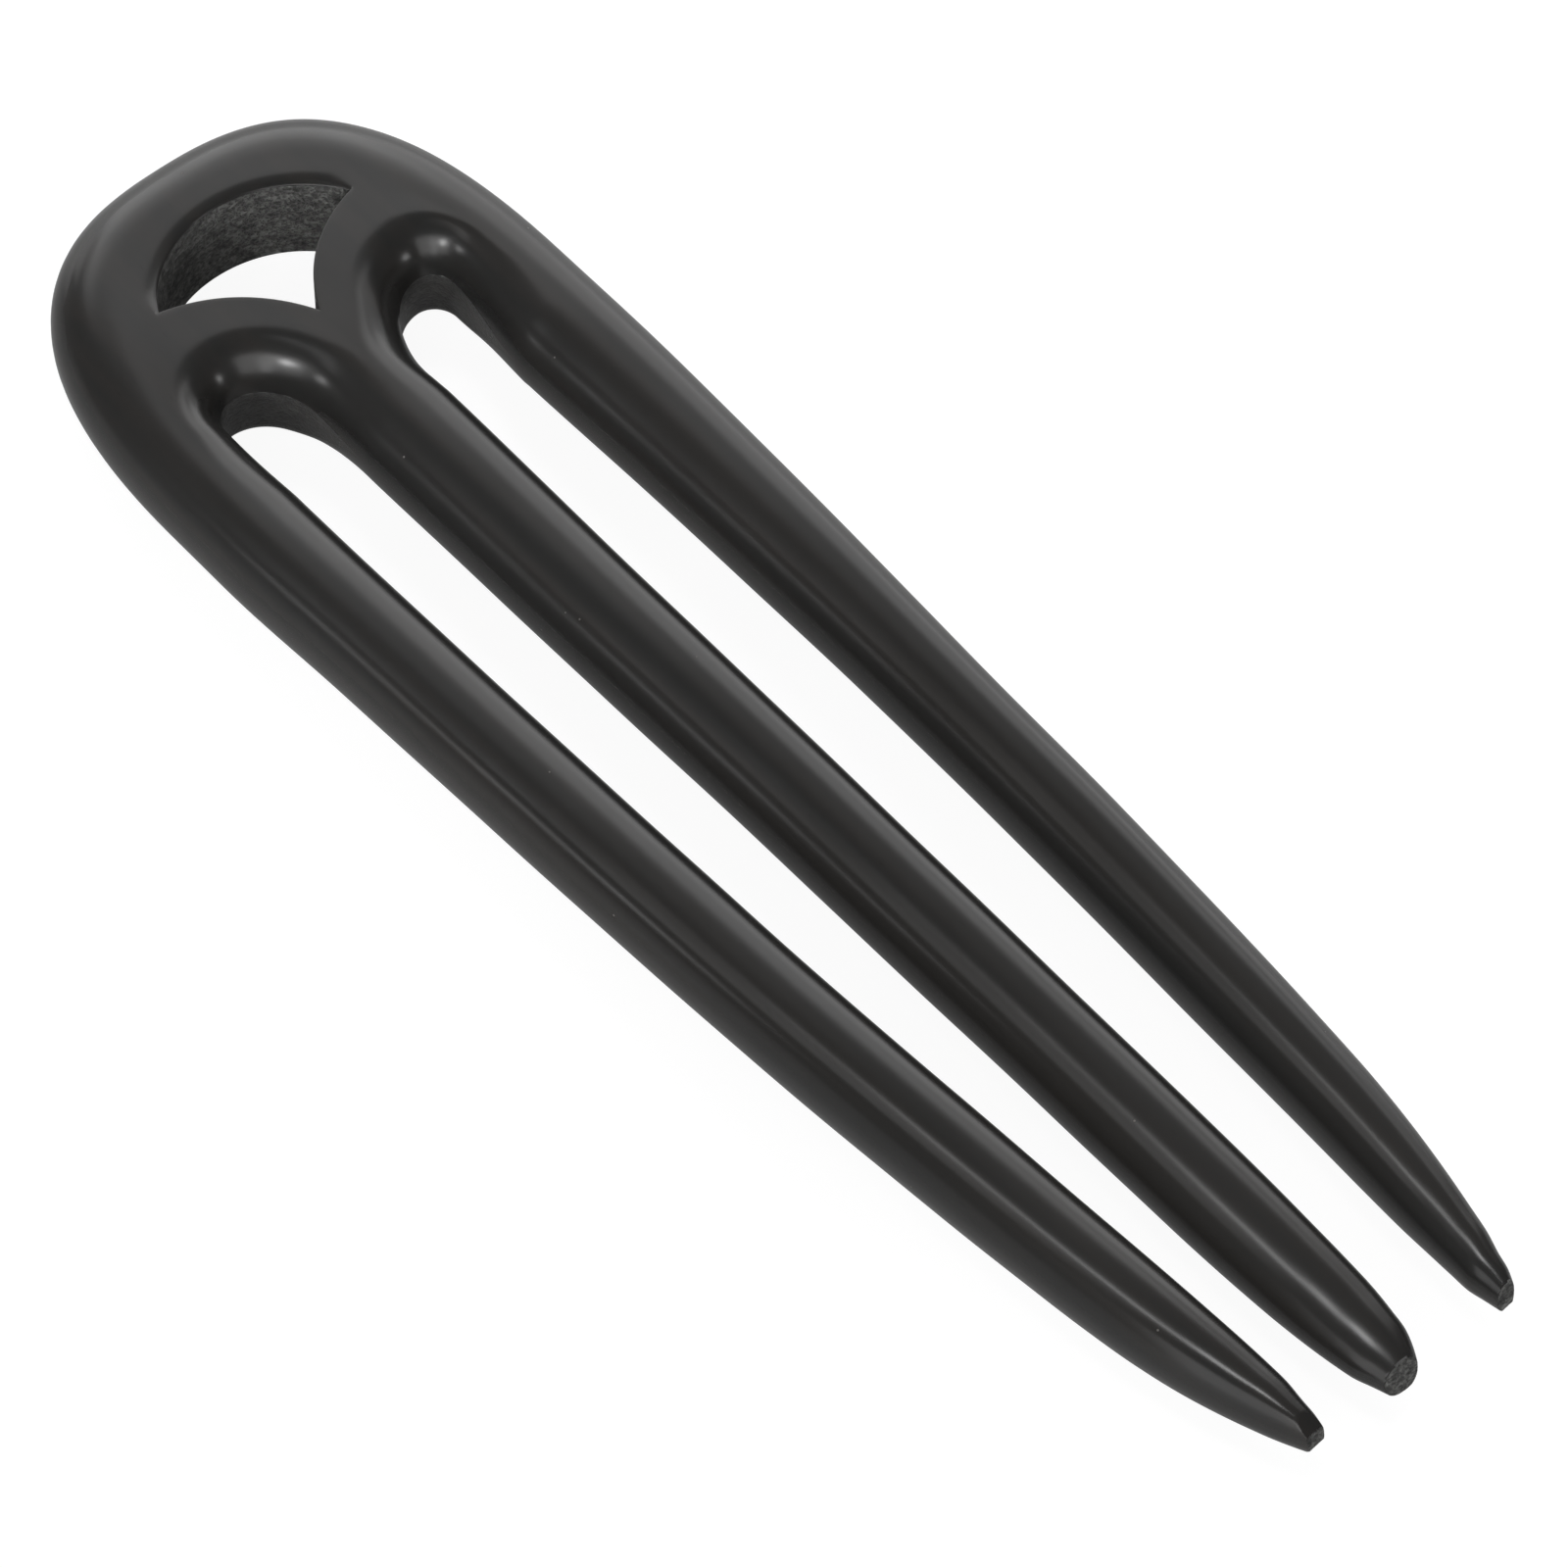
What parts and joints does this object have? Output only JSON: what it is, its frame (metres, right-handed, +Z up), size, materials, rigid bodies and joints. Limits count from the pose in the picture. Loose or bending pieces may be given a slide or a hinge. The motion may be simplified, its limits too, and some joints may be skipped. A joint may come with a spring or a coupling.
{
  "type": "hair fork",
  "caption": "Slim hair fork carved from one piece of dark polished wood, with long tapering prongs and a rounded head with a crescent opening.",
  "frame": {"origin": "middle of the bounding box's bottom, on the surface that the fork lies on", "axes": "+X across the prongs, +Y from the prong tips to the rounded head, +Z up from the surface"},
  "size_m": [0.0444, 0.1644, 0.0096],
  "materials": {
    "dark_wood": "polished, with plain sawn walls in the slot tops and the head opening"
  },
  "bodies": {
    "root": {"hair_fork": "dark_wood"}
  },
  "joints": []
}
